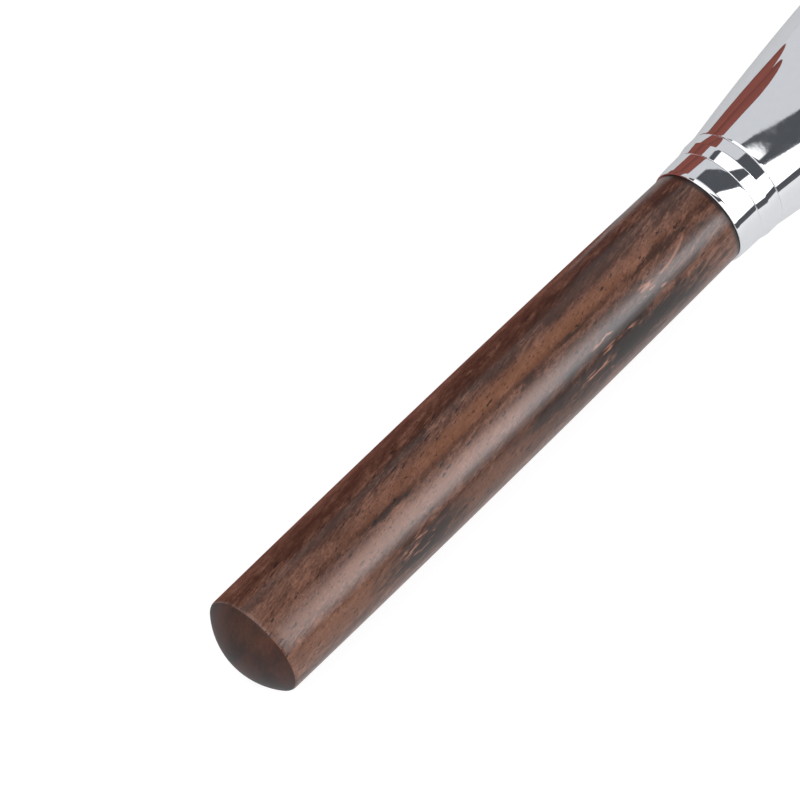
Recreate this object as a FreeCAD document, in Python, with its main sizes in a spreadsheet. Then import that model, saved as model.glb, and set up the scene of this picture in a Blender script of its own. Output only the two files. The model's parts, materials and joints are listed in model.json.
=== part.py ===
import FreeCAD, Part
import os
import re
import Sketcher

# Dip pen holder: a turned rosewood handle, a chrome collar and flare, a hollow
# chrome grip, and a sprung ferrule that takes a steel pen nib.
#
# Every piece is drawn in the pen's own frame: X runs along the pen from the
# domed butt (0) to the nib's point, Z is up through the nib's crown. The pen is
# then laid down: it rests on the butt's edge and on the girdle, so its axis
# rises a little towards the nib. The origin is under the middle of the pen.

doc = FreeCAD.newDocument("dip_pen_holder")
sizes = doc.addObject("Spreadsheet::Sheet", "Sizes")

# alias, value in millimetres or degrees, what it is
DRIVING = [
    ("handle_length", "61.4", "butt dome to the shoulder that meets the collar"),
    ("dome_height", "2.1", "domed butt"),
    ("butt_radius", "5.08", "handle behind the dome"),
    ("barrel_radius", "5.18", "handle at its fullest"),
    ("barrel_station", "29", "where the handle is fullest"),
    ("shoulder_radius", "4.95", "handle at the collar"),
    ("arris_round", "0.3", "eased edge between dome and barrel"),
    ("shoulder_ease", "0.12", "eased edge at the collar"),
    ("edge_ease", "0.07", "broken edges of the turned metal parts"),
    ("bush_radius", "3.0", "threaded bush in the handle"),
    ("bush_length", "14", ""),
    ("bush_bore_depth", "19", "drilled depth, with room for glue and the stud"),
    ("stud_radius", "2.0", "4 mm stud"),
    ("stud_grip", "11", "stud inside the bush"),
    ("stud_beyond_nut", "1.8", "stud showing past the nut"),
    ("stud_clearance", "0.15", "round the stud in the parts that it passes through"),
    ("register_radius", "3.7", "spigots that centre one turned part in the next"),
    ("register_depth", "0.9", ""),
    ("register_clearance", "0.03", "round each spigot"),
    ("register_relief", "0.2", "in front of each spigot"),
    ("collar_length", "2.85", "first chrome band"),
    ("collar_proud", "0.2", "it stands this far out from the wood"),
    ("collar_rise", "0.09", "the band widens by this much"),
    ("step_ring_length", "2.6", "second chrome band"),
    ("step_ring_foot", "0.02", "it stands this far out from the first band"),
    ("step_ring_cone_length", "1.25", "its conical rear half"),
    ("step_ring_rise", "0.2", "from the foot to the land"),
    ("flare_length", "21.5", "chrome flare"),
    ("flare_lead_angle", "8.8", "slope where the flare starts"),
    ("flare_mouth_angle", "4.5", "slope at its mouth"),
    ("flare_floor", "2.2", "solid rear wall of the flare"),
    ("flare_bore_step", "9", "where its bore widens"),
    ("flare_mouth_wall", "1.03", "round the grip's thread"),
    ("washer_radius", "4.1", ""),
    ("washer_thickness", "0.8", ""),
    ("washer_room", "0.4", "round the washer"),
    ("nut_across_flats", "7", ""),
    ("nut_thickness", "3.2", ""),
    ("thread_chamfer", "0.45", "on the nut's corners and the stud's ends"),
    ("girdle_width", "1.6", "ring at the pen's widest point"),
    ("girdle_proud", "0.16", "it stands this far out from the flare's mouth"),
    ("girdle_crown", "2.0", "section radius of its outside"),
    ("spigot_length", "5", "grip's thread in the flare's mouth"),
    ("spigot_wall", "0.9", ""),
    ("thread_clearance", "0.04", "between spigot and mouth"),
    ("grip_length", "33", "girdle to the front edge"),
    ("grip_step", "0.17", "the grip starts this far in from the flare's mouth"),
    ("grip_taper_length", "14", "straight taper, before the hollow for the fingers"),
    ("grip_knee_wall", "1.7", "where taper and hollow meet, over the ferrule's radius"),
    ("grip_front_wall", "1.0", "round the ferrule at the front edge"),
    ("grip_front_ease", "0.25", ""),
    ("grip_bore_step", "6", "where its bore narrows"),
    ("grip_bore_relief", "0.1", "bore behind the stop, over the ferrule's radius"),
    ("grip_stop_thickness", "1.2", "web behind the ferrule"),
    ("grip_stop_bore", "2.6", "hole in that web"),
    ("ferrule_radius", "4.5", "outside of the nib tube"),
    ("ferrule_wall", "0.35", ""),
    ("ferrule_length", "15.5", ""),
    ("ferrule_seat", "8", "part of the ferrule inside the grip"),
    ("ferrule_lip", "0.12", "bead at the mouth"),
    ("ferrule_lip_length", "0.9", ""),
    ("leaf_base_thickness", "1.2", "base disc of the leaf spring"),
    ("leaf_bore", "1.65", "round socket in the middle, for a crow-quill nib"),
    ("leaf_wall", "0.36", "sheet of the leaves"),
    ("leaf_gap_half_width", "0.5", "gap between neighbouring leaves"),
    ("leaf_slit_half_width", "0.12", "slit that frees each leaf"),
    ("leaf_hollow_half_angle", "22", "half the angle of each leaf's hollow"),
    ("leaf_recess", "0.6", "leaves end this far inside the ferrule's mouth"),
    ("nib_clearance", "0.06", "sliding clearance on either side of the nib"),
    ("nib_sheet", "0.22", "thickness of the nib"),
    ("nib_end_gap", "0.05", "behind the nib's heel"),
    ("nib_length", "36", ""),
    ("nib_straight", "19", "straight shank, before the nib curves down"),
    ("nib_bend_radius", "95", "downward curve of the nib, at the pen's axis"),
    ("nib_half_angle", "70", "half the arc of the shank"),
    ("nib_shoulder", "19", "shoulder, measured back from the point"),
    ("nib_shoulder_swell", "0.06", "the shoulder bulges this far"),
    ("nib_flank", "9.5", "where the flanks turn hollow, back from the point"),
    ("nib_flank_half_width", "1.95", ""),
    ("nib_flank_hollow", "0.15", "the flanks are hollowed this far"),
    ("nib_point_half_width", "0.22", ""),
    ("nib_hole_back", "14.5", "breather hole, back from the point"),
    ("nib_hole_radius", "0.8", ""),
    ("nib_slit_half_width", "0.05", ""),
    ("nib_side_slit_back", "13.2", "side slits, back from the point"),
    ("nib_side_slit_half_width", "0.12", ""),
    ("nib_side_slit_depth", "1.7", "their inner ends, out from the middle"),
    ("cut_margin", "1", "how far a cut's outline runs past the metal"),
]
NUT_SIDES = 6
LEAVES = 4
FULL_TURN = 360

# alias, formula over the aliases above
DERIVED = [
    ("dome_sphere", "(butt_radius ^ 2 + dome_height ^ 2) / (2 * dome_height)"),
    ("arris_radius", "butt_radius - arris_round"),
    ("arris_lean", "acos(arris_radius / (dome_sphere - arris_round)) / 1 deg"),
    ("dome_angle", "90 - arris_lean"),
    ("arris_station",
     "dome_sphere - sqrt((dome_sphere - arris_round) ^ 2 - arris_radius ^ 2)"),
    ("bush_front", "handle_length - register_depth - register_relief"),
    ("stud_hole", "stud_radius + stud_clearance"),
    ("register_bore", "register_radius + register_clearance"),
    ("step_start", "handle_length + collar_length"),
    ("collar_rear_radius", "shoulder_radius + collar_proud"),
    ("collar_front_radius", "collar_rear_radius + collar_rise"),
    ("step_ring_rear_radius", "collar_front_radius + step_ring_foot"),
    ("step_ring_land_radius", "step_ring_rear_radius + step_ring_rise"),
    ("flare_start", "step_start + step_ring_length"),
    ("flare_end", "flare_start + flare_length"),
    ("flare_slope", "(flare_lead_angle + flare_mouth_angle) / 2"),
    ("flare_swell",
     "flare_length / cos(flare_slope) / 2"
     " * tan((flare_lead_angle - flare_mouth_angle) / 4)"),
    ("flare_mouth_radius", "step_ring_land_radius + flare_length * tan(flare_slope)"),
    ("flare_inside", "flare_start + flare_floor"),
    ("mouth_start", "flare_end - spigot_length - thread_clearance"),
    ("mouth_radius", "flare_mouth_radius - flare_mouth_wall"),
    ("spigot_radius", "mouth_radius - thread_clearance"),
    ("spigot_bore", "spigot_radius - spigot_wall"),
    ("washer_bore", "washer_radius + washer_room"),
    ("nut_start", "flare_inside + washer_thickness"),
    ("nut_end", "nut_start + nut_thickness"),
    ("nut_corner", f"nut_across_flats / 2 / cos({FULL_TURN / NUT_SIDES / 2})"),
    ("girdle_radius", "flare_mouth_radius + girdle_proud"),
    ("girdle_station", "flare_end + girdle_width / 2"),
    ("girdle_rim",
     "girdle_radius - girdle_crown + sqrt(girdle_crown ^ 2 - girdle_width ^ 2 / 4)"),
    ("grip_start", "flare_end + girdle_width"),
    ("grip_knee", "grip_start + grip_taper_length"),
    ("grip_end", "grip_start + grip_length"),
    ("grip_rear_radius", "flare_mouth_radius - grip_step"),
    ("grip_knee_radius", "ferrule_radius + grip_knee_wall"),
    ("grip_front_radius", "ferrule_radius + grip_front_wall"),
    ("grip_taper", "atan((grip_rear_radius - grip_knee_radius) / grip_taper_length) / 1 deg"),
    ("hollow_run", "grip_end - grip_front_ease - grip_knee"),
    ("hollow_slope", "atan((grip_knee_radius - grip_front_radius) / hollow_run) / 1 deg"),
    ("hollow_depth",
     "hollow_run / cos(hollow_slope) / 2 * tan((grip_taper - hollow_slope) / 2)"),
    ("ferrule_start", "grip_end - ferrule_seat"),
    ("ferrule_end", "ferrule_start + ferrule_length"),
    ("ferrule_bore", "ferrule_radius - ferrule_wall"),
    ("nib_seat", "ferrule_start + leaf_base_thickness"),
    ("nib_heel", "nib_seat + nib_end_gap"),
    ("nib_outer", "ferrule_bore - nib_clearance"),
    ("nib_inner", "nib_outer - nib_sheet"),
    ("nib_bend_start", "nib_heel + nib_straight"),
    ("nib_bend_angle", "(nib_length - nib_straight) / nib_bend_radius * 180 / pi"),
    ("nib_reach", "nib_bend_start + (nib_bend_radius + nib_outer) * sin(nib_bend_angle)"),
    ("nib_drop", "nib_bend_radius - (nib_bend_radius + nib_outer) * cos(nib_bend_angle)"),
    ("nib_half_width", "nib_outer * sin(nib_half_angle)"),
    ("leaf_outer", "nib_inner - nib_clearance"),
    ("leaf_end", "ferrule_end - leaf_recess"),
    ("hollow_inner", "leaf_bore + leaf_wall"),
    ("hollow_outer", "leaf_outer - leaf_wall"),
    ("rest_run", "girdle_station - arris_station"),
    ("rest_rise", "girdle_radius - girdle_crown - arris_radius"),
    ("rest_pitch",
     "(atan(rest_rise / rest_run)"
     " + asin((girdle_crown - arris_round) / sqrt(rest_run ^ 2 + rest_rise ^ 2))) / 1 deg"),
    ("rest_height",
     "(girdle_radius - girdle_crown) * cos(rest_pitch) + girdle_crown"
     " - girdle_station * sin(rest_pitch)"),
    ("butt_x", "dome_sphere * (cos(rest_pitch) - 1)"),
    ("point_x", "nib_reach * cos(rest_pitch) + nib_drop * sin(rest_pitch)"),
    ("middle_x", "(butt_x + point_x) / 2"),
]

for row, (alias, text, note) in enumerate(DRIVING, start=1):
    sizes.set(f"A{row}", alias)
    sizes.set(f"B{row}", text)
    sizes.setAlias(f"B{row}", alias)
    sizes.set(f"C{row}", note)
for row, (alias, formula) in enumerate(DERIVED, start=len(DRIVING) + 2):
    sizes.set(f"A{row}", alias)
    sizes.set(f"B{row}", "=" + formula)
    sizes.setAlias(f"B{row}", alias)
doc.recompute()

ALIASES = {entry[0] for entry in DRIVING + DERIVED}
SAME_POINT = 1e-6


def bound(expression):
    """The expression as another object writes it, with each alias read from the sheet."""
    return re.sub(r"[a-z_]+", lambda word: "Sizes." + word[0] if word[0] in ALIASES else word[0],
                  expression)


def value(expression):
    return float(sizes.evalExpression(expression))


def new_body(name):
    """A body drawn in the pen's frame and laid down with the rest of the pen."""
    body = doc.addObject("PartDesign::Body", name)
    body.Label = name
    tilt = FreeCAD.Rotation(FreeCAD.Vector(0, -1, 0), value("rest_pitch"))
    body.Placement = FreeCAD.Placement(FreeCAD.Vector(), tilt)
    body.setExpression(".Placement.Rotation.Angle", "Sizes.rest_pitch")
    body.setExpression(".Placement.Base.x", "-Sizes.middle_x")
    body.setExpression(".Placement.Base.z", "Sizes.rest_height")
    return body


def new_sketch(body, role, offset=None):
    """A sketch on one of the body's origin planes, moved along its normal by offset."""
    sketch = body.newObject("Sketcher::SketchObject", body.Name + "_sketch")
    plane = next(item for item in body.Origin.OriginFeatures if item.Role == role)
    sketch.AttachmentSupport = [(plane, "")]
    sketch.MapMode = "FlatFace"
    if offset:
        sketch.setExpression(".AttachmentOffset.Base.z", bound(offset))
    return sketch


def pin_point(sketch, edge, end, across, up):
    """Holds one end of an edge at the two expressions, counted from the origin."""
    for kind, axis, expression in (("DistanceX", -2, across), ("DistanceY", -1, up)):
        if expression == "0":
            sketch.addConstraint(Sketcher.Constraint("PointOnObject", edge, end, axis))
        else:
            size = Sketcher.Constraint(kind, edge, end, value(expression))
            number = sketch.addConstraint(size)
            sketch.setExpression(f"Constraints[{number}]", bound(expression))


def outline(sketch, *points):
    """A closed outline. A point is a pair of expressions; one that starts with "via"
    isn't a corner: the edge there is an arc through it."""
    corners = [point for point in points if point[0] != "via"]
    spots = [FreeCAD.Vector(value(across), value(up), 0) for across, up in corners]
    edges = []
    for index, start in enumerate(spots):
        end = spots[(index + 1) % len(spots)]
        place = points.index(corners[index]) + 1
        middle = points[place] if place < len(points) and points[place][0] == "via" else None
        if middle:
            through = FreeCAD.Vector(value(middle[1]), value(middle[2]), 0)
            edge = sketch.addGeometry(Part.Arc(start, through, end), False)
            mark = sketch.addGeometry(Part.Point(through), True)
            pin_point(sketch, mark, 1, middle[1], middle[2])
            sketch.addConstraint(Sketcher.Constraint("PointOnObject", mark, 1, edge))
        else:
            edge = sketch.addGeometry(Part.LineSegment(start, end), False)
        first = 1 if sketch.getPoint(edge, 1).distanceToPoint(start) < SAME_POINT else 2
        edges.append((edge, first, 3 - first))
        pin_point(sketch, edge, first, *corners[index])
    for index, (edge, first, last) in enumerate(edges):
        following, opening, _ = edges[(index + 1) % len(edges)]
        sketch.addConstraint(Sketcher.Constraint("Coincident", edge, last, following, opening))


def turned(name, *points):
    """A body turned round the pen's axis from its half section."""
    body = new_body(name)
    sketch = new_sketch(body, "XZ_Plane")
    outline(sketch, *points)
    doc.recompute()
    turn = body.newObject("PartDesign::Revolution", name + "_turned")
    turn.Profile = sketch
    turn.ReferenceAxis = (sketch, ["H_Axis"])
    turn.Angle = FULL_TURN
    sketch.Visibility = False
    doc.recompute()
    return body


def volume(body):
    return body.Shape.Volume


def cut(body, sketch, name, forward=None):
    """Cuts the sketch's outline away: right through, or this far forward from its plane."""
    before = volume(body)
    pocket = body.newObject("PartDesign::Pocket", name)
    pocket.Profile = sketch
    pocket.Type = "ThroughAll" if forward is None else "Length"
    if forward is None:
        pocket.Midplane = True
    else:
        pocket.setExpression("Length", bound(forward))
        pocket.Reversed = True
    sketch.Visibility = False
    doc.recompute()
    if not volume(body) < before:
        raise RuntimeError(name + " cuts nothing")
    return pocket


def repeat(body, feature, name, count):
    """Repeats a cut round the pen's axis."""
    before = volume(body)
    pattern = body.newObject("PartDesign::PolarPattern", name)
    pattern.Originals = [feature]
    axis = next(item for item in body.Origin.OriginFeatures if item.Role == "X_Axis")
    pattern.Axis = (axis, [""])
    pattern.Angle = FULL_TURN
    pattern.Occurrences = count
    body.Tip = pattern
    doc.recompute()
    if not volume(body) < before:
        raise RuntimeError(name + " repeats nothing")


def groove(body, sketch, name):
    """Turns the sketch's outline away, round the pen's axis."""
    before = volume(body)
    doc.recompute()
    feature = body.newObject("PartDesign::Groove", name)
    feature.Profile = sketch
    feature.ReferenceAxis = (sketch, ["H_Axis"])
    feature.Angle = FULL_TURN
    sketch.Visibility = False
    doc.recompute()
    if not volume(body) < before:
        raise RuntimeError(name + " cuts nothing")


def spigot(rear):
    """Outline of a stacked part's rear spigot, from the stud hole out to the face."""
    return [
        (f"{rear} - register_depth", "stud_hole"),
        (f"{rear} - register_depth", "register_radius"),
        (rear, "register_radius"),
    ]


def recess(front, hole):
    """Outline of the recess for the next part's spigot, from the face in to the hole."""
    floor = f"{front} - register_depth - register_relief"
    return [
        (front, "register_bore"),
        (floor, "register_bore"),
        (floor, hole),
    ]


# --- handle ------------------------------------------------------------------

def make_handle():
    """Rosewood barrel with a domed butt, drilled for the bush and recessed for the
    collar's spigot."""
    bore_end = "handle_length - bush_bore_depth"
    turned(
        "handle",
        ("0", "0"),
        ("via", "dome_sphere * (1 - cos(dome_angle / 2))", "dome_sphere * sin(dome_angle / 2)"),
        ("arris_station - arris_round * sin(arris_lean)",
         "arris_radius + arris_round * cos(arris_lean)"),
        ("via", "arris_station - arris_round * sin(arris_lean / 2)",
         "arris_radius + arris_round * cos(arris_lean / 2)"),
        ("arris_station", "butt_radius"),
        ("via", "barrel_station", "barrel_radius"),
        ("handle_length - shoulder_ease", "shoulder_radius"),
        ("handle_length", "shoulder_radius - shoulder_ease"),
        *recess("handle_length", "bush_radius"),
        (bore_end, "bush_radius"),
        (f"{bore_end} - bush_radius / 2", "0"),
    )


def make_handle_bush():
    """Brass bush glued into the handle, bored for the stud."""
    rear = "bush_front - bush_length"
    turned(
        "handle_bush",
        (rear, "stud_radius"),
        (rear, "bush_radius"),
        ("bush_front", "bush_radius"),
        ("bush_front", "stud_radius"),
    )


def make_tie_stud():
    """Steel stud that draws the collar, the ring and the flare against the handle."""
    rear, front = "bush_front - stud_grip", "nut_end + stud_beyond_nut"
    turned(
        "tie_stud",
        (rear, "0"),
        (rear, "stud_radius - thread_chamfer"),
        (f"{rear} + thread_chamfer", "stud_radius"),
        (f"{front} - thread_chamfer", "stud_radius"),
        (front, "stud_radius - thread_chamfer"),
        (front, "0"),
    )


# --- chrome stack between handle and grip ------------------------------------

def make_rear_collar():
    """First chrome band, a little proud of the wood and opening slightly forward."""
    turned(
        "rear_collar",
        *spigot("handle_length"),
        ("handle_length", "collar_rear_radius - edge_ease"),
        ("handle_length + edge_ease", "collar_rear_radius"),
        ("step_start - edge_ease", "collar_front_radius"),
        ("step_start", "collar_front_radius - edge_ease"),
        *recess("step_start", "stud_hole"),
    )


def make_step_ring():
    """Second band: a cone up from the collar, then a cylindrical land."""
    turned(
        "step_ring",
        *spigot("step_start"),
        ("step_start", "step_ring_rear_radius - edge_ease"),
        ("step_start + edge_ease", "step_ring_rear_radius"),
        ("step_start + step_ring_cone_length", "step_ring_land_radius"),
        ("flare_start - edge_ease", "step_ring_land_radius"),
        ("flare_start", "step_ring_land_radius - edge_ease"),
        *recess("flare_start", "stud_hole"),
    )


def make_flare():
    """Hollow flare, open at its mouth, where a counterbore takes the grip's spigot."""
    turned(
        "flare",
        *spigot("flare_start"),
        ("flare_start", "step_ring_land_radius - edge_ease"),
        ("flare_start + edge_ease", "step_ring_land_radius"),
        ("via", "flare_start + flare_length / 2 - flare_swell * sin(flare_slope)",
         "(step_ring_land_radius + flare_mouth_radius) / 2 + flare_swell * cos(flare_slope)"),
        ("flare_end - edge_ease", "flare_mouth_radius"),
        ("flare_end", "flare_mouth_radius - edge_ease"),
        ("flare_end", "mouth_radius"),
        ("mouth_start", "mouth_radius"),
        ("mouth_start", "spigot_bore"),
        ("flare_start + flare_bore_step", "spigot_bore"),
        ("flare_start + flare_bore_step", "washer_bore"),
        ("flare_inside", "washer_bore"),
        ("flare_inside", "stud_hole"),
    )


def make_washer():
    """Washer under the nut, on the flare's floor."""
    turned(
        "washer",
        ("flare_inside", "stud_hole"),
        ("flare_inside", "washer_radius"),
        ("nut_start", "washer_radius"),
        ("nut_start", "stud_hole"),
    )


def make_clamp_nut():
    """Hexagon nut on the stud. A cone trims the corners of its front face."""
    body = new_body("clamp_nut")
    hexagon = new_sketch(body, "YZ_Plane", "nut_start")
    turns = [(corner + 0.5) * FULL_TURN / NUT_SIDES for corner in range(NUT_SIDES)]
    outline(hexagon, *[(f"nut_corner * cos({turn})", f"nut_corner * sin({turn})")
                       for turn in turns])
    doc.recompute()
    blank = body.newObject("PartDesign::Pad", "clamp_nut_blank")
    blank.Profile = hexagon
    blank.setExpression("Length", "Sizes.nut_thickness")
    doc.recompute()
    hole = new_sketch(body, "XZ_Plane")
    outline(
        hole,
        ("nut_start - cut_margin", "0"),
        ("nut_start - cut_margin", "stud_radius"),
        ("nut_end + cut_margin", "stud_radius"),
        ("nut_end + cut_margin", "0"),
    )
    groove(body, hole, "clamp_nut_bore")
    trim = new_sketch(body, "XZ_Plane")
    outline(
        trim,
        ("nut_end - thread_chamfer", "nut_corner + cut_margin"),
        ("nut_end - thread_chamfer", "nut_corner"),
        ("nut_end", "nut_corner - 2 * thread_chamfer"),
        ("nut_end + cut_margin", "nut_corner - 2 * thread_chamfer"),
        ("nut_end + cut_margin", "nut_corner + cut_margin"),
    )
    groove(body, trim, "clamp_nut_corners")


# --- girdle, grip and ferrule ------------------------------------------------

def make_girdle():
    """Crowned ring trapped between the flare's mouth and the grip's shoulder."""
    turned(
        "girdle",
        ("flare_end", "mouth_radius"),
        ("flare_end", "girdle_rim"),
        ("via", "girdle_station", "girdle_radius"),
        ("grip_start", "girdle_rim"),
        ("grip_start", "mouth_radius"),
    )


def make_grip():
    """Hollow grip: a spigot for the flare's mouth, a taper that runs into a hollow for
    the fingers, a stepped bore, and a web that stops the ferrule."""
    spigot_start = "flare_end - spigot_length"
    bore_step = "grip_start + grip_bore_step"
    web = "ferrule_start - grip_stop_thickness"
    turned(
        "grip",
        (spigot_start, "spigot_bore"),
        (spigot_start, "spigot_radius"),
        ("grip_start", "spigot_radius"),
        ("grip_start", "grip_rear_radius - edge_ease"),
        ("grip_start + edge_ease", "grip_rear_radius"),
        ("grip_knee", "grip_knee_radius"),
        ("via", "grip_knee + hollow_run / 2 - hollow_depth * sin(hollow_slope)",
         "(grip_knee_radius + grip_front_radius) / 2 - hollow_depth * cos(hollow_slope)"),
        ("grip_end - grip_front_ease", "grip_front_radius"),
        ("grip_end", "grip_front_radius - grip_front_ease"),
        ("grip_end", "ferrule_radius"),
        ("ferrule_start", "ferrule_radius"),
        ("ferrule_start", "grip_stop_bore"),
        (web, "grip_stop_bore"),
        (web, "ferrule_radius + grip_bore_relief"),
        (bore_step, "ferrule_radius + grip_bore_relief"),
        (bore_step, "spigot_bore"),
    )


def make_ferrule():
    """Thin tube pressed into the grip, with a small bead at its mouth."""
    bead_start = "ferrule_end - ferrule_lip_length"
    turned(
        "ferrule",
        ("ferrule_start", "ferrule_bore"),
        ("ferrule_start", "ferrule_radius"),
        (bead_start, "ferrule_radius"),
        (f"{bead_start} + ferrule_lip", "ferrule_radius + ferrule_lip"),
        ("ferrule_end - ferrule_lip", "ferrule_radius + ferrule_lip"),
        ("ferrule_end", "ferrule_radius"),
        ("ferrule_end", "ferrule_bore"),
    )


def slot(near, far, half_width):
    """Corners of a straight slot that runs outward between two leaves."""
    turn = FULL_TURN / LEAVES / 2
    return [(f"{reach} * sin({turn}) {across} {half_width} * cos({turn})",
             f"{reach} * cos({turn}) {along} {half_width} * sin({turn})")
            for reach, across, along in ((near, "+", "-"), (near, "-", "+"),
                                         (far, "-", "+"), (far, "+", "-"))]


def make_leaf_spring():
    """Folded leaves on a base disc. They press the nib against the ferrule, and their
    middle is a round socket."""
    body = turned(
        "leaf_spring",
        ("ferrule_start", "leaf_bore"),
        ("ferrule_start", "ferrule_bore"),
        ("nib_seat", "ferrule_bore"),
        ("nib_seat", "leaf_outer"),
        ("leaf_end", "leaf_outer"),
        ("leaf_end", "leaf_bore"),
    )
    length = "leaf_end - nib_seat + cut_margin"
    side = "leaf_hollow_half_angle"
    fold = new_sketch(body, "YZ_Plane", "nib_seat")
    outline(
        fold,
        (f"-hollow_inner * sin({side})", f"hollow_inner * cos({side})"),
        ("via", "0", "hollow_inner"),
        (f"hollow_inner * sin({side})", f"hollow_inner * cos({side})"),
        (f"hollow_outer * sin({side})", f"hollow_outer * cos({side})"),
        ("via", "0", "hollow_outer"),
        (f"-hollow_outer * sin({side})", f"hollow_outer * cos({side})"),
    )
    repeat(body, cut(body, fold, "leaf_hollow", length), "leaf_hollows", LEAVES)
    gap = new_sketch(body, "YZ_Plane", "nib_seat")
    outline(gap, *slot("(hollow_inner + leaf_wall)", "(leaf_outer + leaf_wall)",
                       "leaf_gap_half_width"))
    repeat(body, cut(body, gap, "leaf_gap", length), "leaf_gaps", LEAVES)
    slit = new_sketch(body, "YZ_Plane", "nib_seat")
    outline(slit, *slot("(leaf_bore / 2)", "(hollow_inner + leaf_wall)",
                        "leaf_slit_half_width"))
    repeat(body, cut(body, slit, "leaf_slit", length), "leaf_slits", LEAVES)


# --- nib ---------------------------------------------------------------------

def crown(body, station):
    """Sketch across the pen of the nib's sheet, an arc to either side of the top."""
    sketch = new_sketch(body, "YZ_Plane", station)
    inner, outer, side = "nib_inner", "nib_outer", "nib_half_angle"
    outline(
        sketch,
        (f"-{inner} * sin({side})", f"{inner} * cos({side})"),
        ("via", "0", inner),
        (f"{inner} * sin({side})", f"{inner} * cos({side})"),
        (f"{outer} * sin({side})", f"{outer} * cos({side})"),
        ("via", "0", outer),
        (f"-{outer} * sin({side})", f"{outer} * cos({side})"),
    )
    return sketch


def make_nib():
    """Steel nib: a straight shank that follows the ferrule, a long downward curve, then
    shoulders, hollow flanks, side slits, a breather hole and the slit to the point."""
    body = new_body("nib")
    heel = crown(body, "nib_heel")
    doc.recompute()
    shank = body.newObject("PartDesign::Pad", "nib_shank")
    shank.Profile = heel
    shank.setExpression("Length", "Sizes.nib_straight")
    doc.recompute()

    bend = crown(body, "nib_bend_start")
    hinge_start, hinge_end = FreeCAD.Vector(-1, 0, 0), FreeCAD.Vector(1, 0, 0)
    hinge = bend.addGeometry(Part.LineSegment(hinge_start, hinge_end), True)
    pin_point(bend, hinge, 1, "-nib_outer", "-nib_bend_radius")
    pin_point(bend, hinge, 2, "nib_outer", "-nib_bend_radius")
    doc.recompute()
    beak = body.newObject("PartDesign::Revolution", "nib_beak")
    beak.Profile = bend
    beak.ReferenceAxis = (bend, ["Axis0"])
    beak.setExpression("Angle", "Sizes.nib_bend_angle")
    doc.recompute()

    shoulder, flank = "nib_reach - nib_shoulder", "nib_reach - nib_flank"
    for side, name in (("", "nib_left_flank"), ("-", "nib_right_flank")):
        plan = new_sketch(body, "XY_Plane")
        outline(
            plan,
            (shoulder, f"{side}(nib_outer + cut_margin)"),
            (shoulder, f"{side}nib_half_width"),
            ("via", f"({shoulder} + {flank}) / 2",
             f"{side}((nib_half_width + nib_flank_half_width) / 2 + nib_shoulder_swell)"),
            (flank, f"{side}nib_flank_half_width"),
            ("via", f"({flank} + nib_reach) / 2",
             f"{side}((nib_flank_half_width + nib_point_half_width) / 2 - nib_flank_hollow)"),
            ("nib_reach", f"{side}nib_point_half_width"),
            ("nib_reach + cut_margin", f"{side}nib_point_half_width"),
            ("nib_reach + cut_margin", f"{side}(nib_outer + cut_margin)"),
        )
        cut(body, plan, name)

    breather = new_sketch(body, "XY_Plane")
    centre = "nib_reach - nib_hole_back"
    outline(
        breather,
        (f"{centre} - nib_hole_radius", "0"),
        ("via", centre, "nib_hole_radius"),
        (f"{centre} + nib_hole_radius", "0"),
        ("via", centre, "-nib_hole_radius"),
    )
    cut(body, breather, "nib_breather")

    split = new_sketch(body, "XY_Plane")
    outline(
        split,
        (centre, "-nib_slit_half_width"),
        ("nib_reach + cut_margin", "-nib_slit_half_width"),
        ("nib_reach + cut_margin", "nib_slit_half_width"),
        (centre, "nib_slit_half_width"),
    )
    cut(body, split, "nib_split")

    for side, name in (("", "nib_left_side_slit"), ("-", "nib_right_side_slit")):
        flank = new_sketch(body, "XY_Plane")
        front = "nib_reach - nib_side_slit_back"
        outline(
            flank,
            (f"{front} - nib_side_slit_half_width", f"{side}nib_side_slit_depth"),
            (f"{front} + nib_side_slit_half_width", f"{side}nib_side_slit_depth"),
            (f"{front} + nib_side_slit_half_width", f"{side}(nib_outer + cut_margin)"),
            (f"{front} - nib_side_slit_half_width", f"{side}(nib_outer + cut_margin)"),
        )
        cut(body, flank, name)


# --- build, check and write --------------------------------------------------

for make in (make_handle, make_handle_bush, make_tie_stud, make_rear_collar, make_step_ring,
             make_flare, make_washer, make_clamp_nut, make_girdle, make_grip, make_ferrule,
             make_leaf_spring, make_nib):
    make()
doc.recompute()

failed = [item.Name for item in doc.Objects
          if "Invalid" in item.State or "Error" in item.State]
pieces = doc.findObjects("PartDesign::Body")
failed += [body.Label for body in pieces
           if body.Shape.isNull() or not body.Shape.isValid() or len(body.Shape.Solids) != 1]
if failed:
    raise RuntimeError("not built: " + ", ".join(failed))

os.makedirs("parts", exist_ok=True)
for body in pieces:
    body.Shape.exportStep(f"parts/{body.Label}.step")
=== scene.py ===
import json
import math

import bmesh
import bpy
from mathutils import Matrix, Vector


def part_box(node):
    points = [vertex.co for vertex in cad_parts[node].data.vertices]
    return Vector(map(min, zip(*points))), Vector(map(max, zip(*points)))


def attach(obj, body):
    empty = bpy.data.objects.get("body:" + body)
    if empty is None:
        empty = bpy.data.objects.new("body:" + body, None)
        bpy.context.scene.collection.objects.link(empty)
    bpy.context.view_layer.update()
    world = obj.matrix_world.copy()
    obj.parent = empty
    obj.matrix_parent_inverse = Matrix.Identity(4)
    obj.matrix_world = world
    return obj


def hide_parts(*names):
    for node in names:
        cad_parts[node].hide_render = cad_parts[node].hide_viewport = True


# Looks of the dip pen holder. The turned pieces are modelled again as finely
# stepped turnings with rounded edges; the small fittings inside and the nib are
# the CAD nodes with a material. The pen is drawn in its own frame, as in the CAD
# source: X runs along it from the domed butt, Z is up.

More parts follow.
